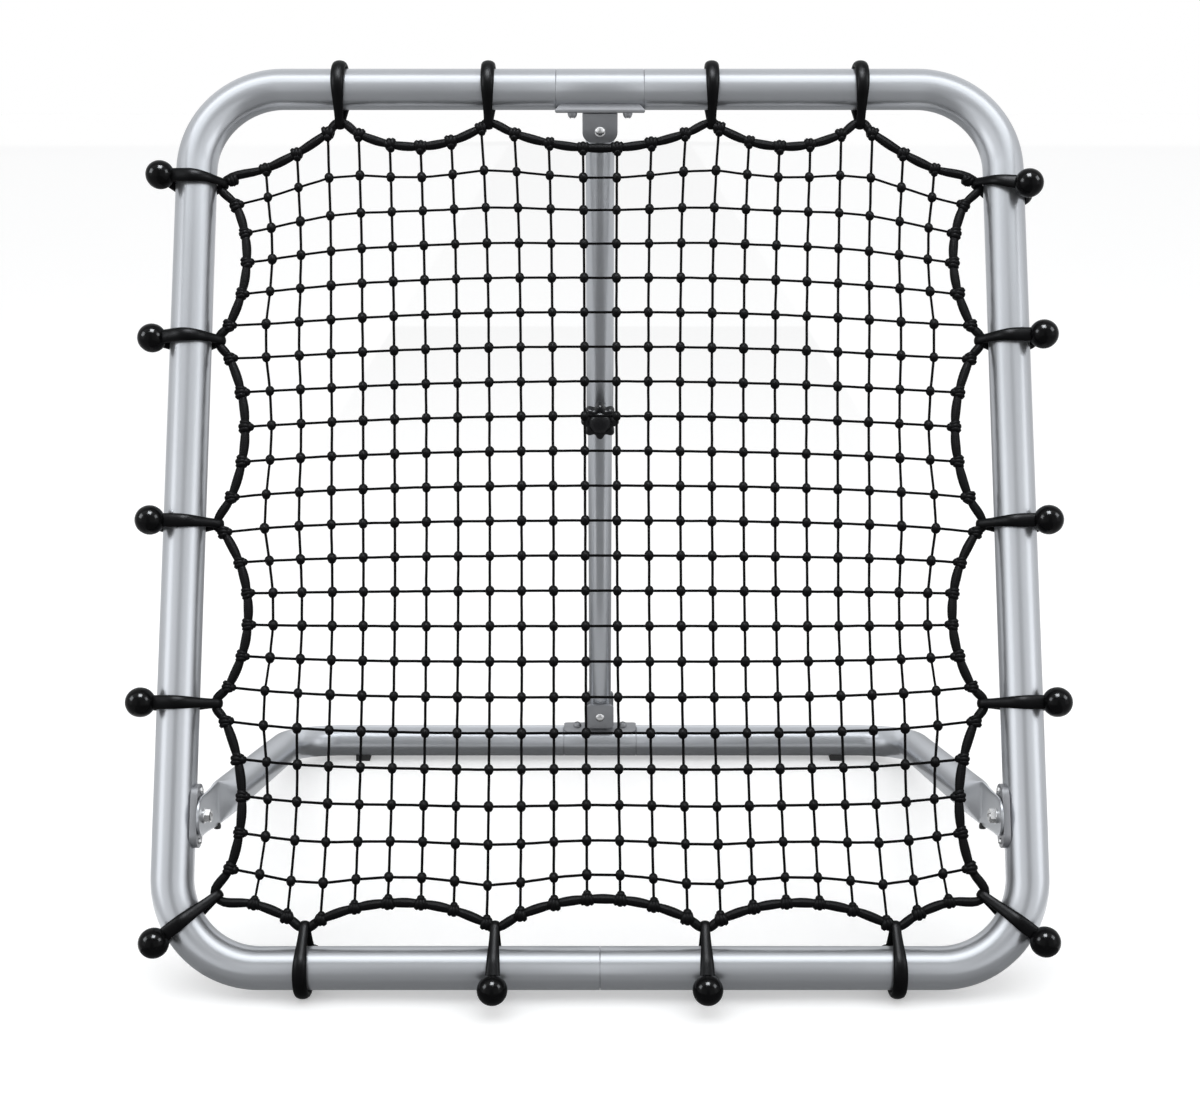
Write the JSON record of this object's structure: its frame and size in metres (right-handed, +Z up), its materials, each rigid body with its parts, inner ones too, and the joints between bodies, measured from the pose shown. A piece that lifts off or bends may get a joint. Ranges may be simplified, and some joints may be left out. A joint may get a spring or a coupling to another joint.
{
  "type": "rebound net",
  "caption": "Free-standing ball rebound net: leaning bent-tube frame, knotted net on ball bungees, hinged tube stand and a telescopic strut with a clamp knob.",
  "frame": {"origin": "on the floor, in the middle of the footprint's bounding box", "axes": "+X to the right as the player faces the net, +Y from the net towards the rear bar, +Z up"},
  "size_m": [0.8557, 0.5577, 0.7855],
  "materials": {
    "silver_paint": "silver satin paint on steel tube",
    "grey_casting": "grey satin pressed and cast steel fittings",
    "bright_steel": "zinc bright fasteners",
    "black_knob": "black moulded plastic, lightly textured",
    "black_ball": "black gloss plastic",
    "bungee_rubber": "black rubber strap, satin",
    "foot_rubber": "black rubber, matt",
    "black_rope": "black polyester border rope",
    "black_cord": "black braided net cord"
  },
  "bodies": {
    "front_frame": {"frame_left_half": "silver_paint", "frame_right_half": "silver_paint", "top_spigot": "grey_casting", "side_bracket_left": "grey_casting", "side_bracket_right": "grey_casting", "net_mesh": "black_cord", "border_rope": "black_rope", "bungee_strap_top_inner_left": "bungee_rubber", "bungee_strap_top_inner_right": "bungee_rubber", "bungee_strap_top_outer_left": "bungee_rubber", "bungee_strap_top_outer_right": "bungee_rubber", "bungee_strap_side_upper_left": "bungee_rubber", "bungee_strap_side_upper_right": "bungee_rubber", "bungee_strap_side_middle_left": "bungee_rubber", "bungee_strap_side_middle_right": "bungee_rubber", "bungee_strap_side_lower_left": "bungee_rubber", "bungee_strap_side_lower_right": "bungee_rubber", "bungee_strap_bottom_inner_left": "bungee_rubber", "bungee_strap_bottom_inner_right": "bungee_rubber", "bungee_strap_bottom_outer_left": "bungee_rubber", "bungee_strap_bottom_outer_right": "bungee_rubber", "bungee_strap_top_corner_left": "bungee_rubber", "bungee_strap_top_corner_right": "bungee_rubber", "bungee_strap_bottom_corner_left": "bungee_rubber", "bungee_strap_bottom_corner_right": "bungee_rubber", "bungee_ball_top_inner_left": "black_ball", "bungee_ball_top_inner_right": "black_ball", "bungee_ball_top_outer_left": "black_ball", "bungee_ball_top_outer_right": "black_ball", "bungee_ball_side_upper_left": "black_ball", "bungee_ball_side_upper_right": "black_ball", "bungee_ball_side_middle_left": "black_ball", "bungee_ball_side_middle_right": "black_ball", "bungee_ball_side_lower_left": "black_ball", "bungee_ball_side_lower_right": "black_ball", "bungee_ball_bottom_inner_left": "black_ball", "bungee_ball_bottom_inner_right": "black_ball", "bungee_ball_bottom_outer_left": "black_ball", "bungee_ball_bottom_outer_right": "black_ball", "bungee_ball_top_corner_left": "black_ball", "bungee_ball_top_corner_right": "black_ball", "bungee_ball_bottom_corner_left": "black_ball", "bungee_ball_bottom_corner_right": "black_ball"},
    "stand": {"stand_left_half": "silver_paint", "stand_right_half": "silver_paint", "rear_spigot": "grey_casting", "pivot_bolt_left": "bright_steel", "pivot_bolt_right": "bright_steel", "foot_left": "foot_rubber", "foot_right": "foot_rubber"},
    "strut_upper": {"upper_swivel_sleeve": "silver_paint", "upper_clevis": "grey_casting", "upper_clevis_bolt": "bright_steel", "strut_outer_tube": "silver_paint", "clamp_boss": "grey_casting"},
    "strut_lower": {"lower_swivel_sleeve": "silver_paint", "lower_clevis": "grey_casting", "lower_clevis_bolt": "bright_steel", "strut_inner_tube": "silver_paint"},
    "knob": {"clamp_knob": "black_knob"}
  },
  "joints": [
    {"name": "stand_hinge", "type": "hinge", "parent": "front_frame", "child": "stand", "pos_m": [0, -0.17314, 0.14504], "axis": [1, 0, 0], "range_deg": [-10, 10]},
    {"name": "strut_swing", "type": "hinge", "parent": "front_frame", "child": "strut_upper", "pos_m": [0, 0.12626, 0.75892], "axis": [1, 0, 0], "range_deg": [-2.7, 2.7]},
    {"name": "strut_slide", "type": "slide", "parent": "strut_upper", "child": "strut_lower", "axis": [0, 0.1801, -0.9836], "range_m": [-0.0708, 0.0708]},
    {"name": "knob_turn", "type": "hinge", "parent": "strut_upper", "child": "knob", "pos_m": [0, 0.18589, 0.43333], "axis": [0, -0.9836, -0.1801], "range_deg": [0, 540]}
  ],
  "couplings": [
    {"joint": "strut_swing", "follows": "stand_hinge", "ratio": 0.26751},
    {"joint": "strut_slide", "follows": "stand_hinge", "m_per_rad": -0.405}
  ]
}
